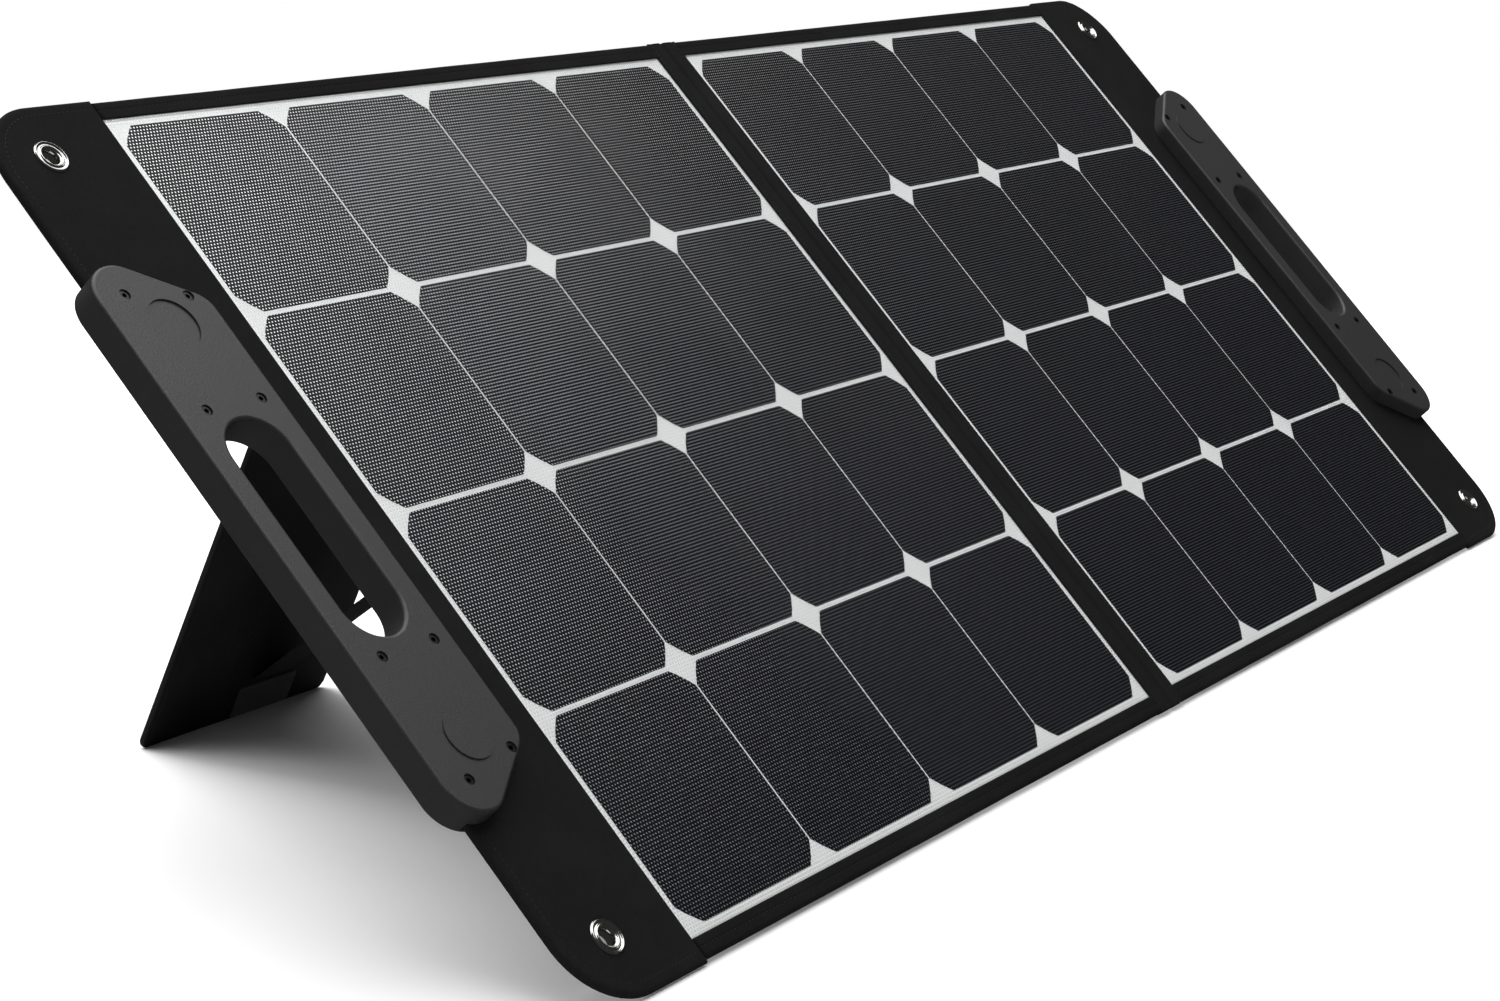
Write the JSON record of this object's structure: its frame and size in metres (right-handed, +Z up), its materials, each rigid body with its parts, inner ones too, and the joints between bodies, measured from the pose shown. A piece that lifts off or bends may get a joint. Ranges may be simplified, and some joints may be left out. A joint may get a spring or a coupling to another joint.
{
  "type": "folding solar panel",
  "caption": "Folding portable solar panel: cloth-covered leaves hinged like a book, carry handles with magnetic faces, corner eyelets and strap-limited kickstands on the back.",
  "frame": {"origin": "on the surface it stands on, under the middle of its bounding box, standing open on its stands", "axes": "+Z up, +X to the right along the open panel's width seen from the sunny side, +Y away from the viewer towards the stands' feet"},
  "size_m": [1.2584, 0.493, 0.3992],
  "materials": {
    "board": "matte",
    "white_sheet": "satin",
    "cell": "satin",
    "tab": "satin",
    "clear_film": "embossed",
    "flap_cloth": "woven matte",
    "binding_tape": "woven matte",
    "back_cloth": "woven matte",
    "spine_cloth": "woven matte",
    "stand_cloth": "woven matte",
    "webbing": "woven matte",
    "zip_tape": "woven matte",
    "hook_and_loop": "hooked pile",
    "foam": "matte",
    "nickel": "polished",
    "handle_shell": "spark texture",
    "screw_steel": "black oxide",
    "magnet": "polished",
    "box_plastic": "fine texture",
    "circuit": "satin",
    "zip_metal": "satin"
  },
  "bodies": {
    "left_leaf": {"left_stiffener_board": "board", "left_back_sheet": "white_sheet", "left_solar_cells": "cell", "left_cell_tabs": "tab", "left_front_film": "clear_film", "left_end_flap": "flap_cloth", "left_flap_core": "foam", "left_top_binding": "binding_tape", "left_bottom_binding": "binding_tape", "left_back_cover": "back_cloth", "left_eyelets": "nickel", "left_eyelet_washers": "nickel", "left_handle_front": "handle_shell", "left_handle_rear": "handle_shell", "left_handle_screws": "screw_steel", "left_handle_magnets": "magnet", "left_strap_anchor": "back_cloth", "left_loop_patch": "hook_and_loop", "left_limiter_strap": "webbing", "left_stand_hinge_tape": "webbing", "front_spine": "spine_cloth", "back_spine": "spine_cloth", "link_ribbon": "tab"},
    "right_leaf": {"right_stiffener_board": "board", "right_back_sheet": "white_sheet", "right_solar_cells": "cell", "right_cell_tabs": "tab", "right_front_film": "clear_film", "right_end_flap": "flap_cloth", "right_flap_core": "foam", "right_top_binding": "binding_tape", "right_bottom_binding": "binding_tape", "right_back_cover": "back_cloth", "right_eyelets": "nickel", "right_eyelet_washers": "nickel", "right_handle_front": "handle_shell", "right_handle_rear": "handle_shell", "right_handle_screws": "screw_steel", "right_handle_magnets": "magnet", "right_strap_anchor": "back_cloth", "right_loop_patch": "hook_and_loop", "right_limiter_strap": "webbing", "right_stand_hinge_tape": "webbing", "lead_pocket": "back_cloth", "zip_tapes": "zip_tape", "junction_box": "box_plastic", "junction_lid": "box_plastic", "junction_screws": "screw_steel", "circuit_board": "circuit", "cable_gland": "box_plastic"},
    "left_stand": {"left_stand_board": "board", "left_stand_cover": "stand_cloth", "left_stand_hook_patch": "hook_and_loop"},
    "right_stand": {"right_stand_board": "board", "right_stand_cover": "stand_cloth", "right_stand_hook_patch": "hook_and_loop"},
    "zip_slider": {"zip_slider": "zip_metal", "zip_puller": "webbing"}
  },
  "joints": [
    {"name": "fold", "type": "hinge", "parent": "left_leaf", "child": "right_leaf", "pos_m": [0, -0.06629, 0.20898], "axis": [0, -0.6892, -0.7246], "range_deg": [0, 180], "deforming": ["front_spine", "back_spine", "link_ribbon"]},
    {"name": "left_stand_hinge", "type": "hinge", "parent": "left_leaf", "child": "left_stand", "pos_m": [-0.30885, 0.07974, 0.33299], "axis": [-1, 0, 0], "range_deg": [0, 70], "deforming": ["left_limiter_strap", "left_stand_hinge_tape"]},
    {"name": "right_stand_hinge", "type": "hinge", "parent": "right_leaf", "child": "right_stand", "pos_m": [0.30885, 0.07974, 0.33299], "axis": [-1, 0, 0], "range_deg": [0, 70], "deforming": ["right_limiter_strap", "right_stand_hinge_tape"]},
    {"name": "zip_slide", "type": "slide", "parent": "right_leaf", "child": "zip_slider", "axis": [-1, 0, 0], "range_m": [0, 0.12965]}
  ]
}
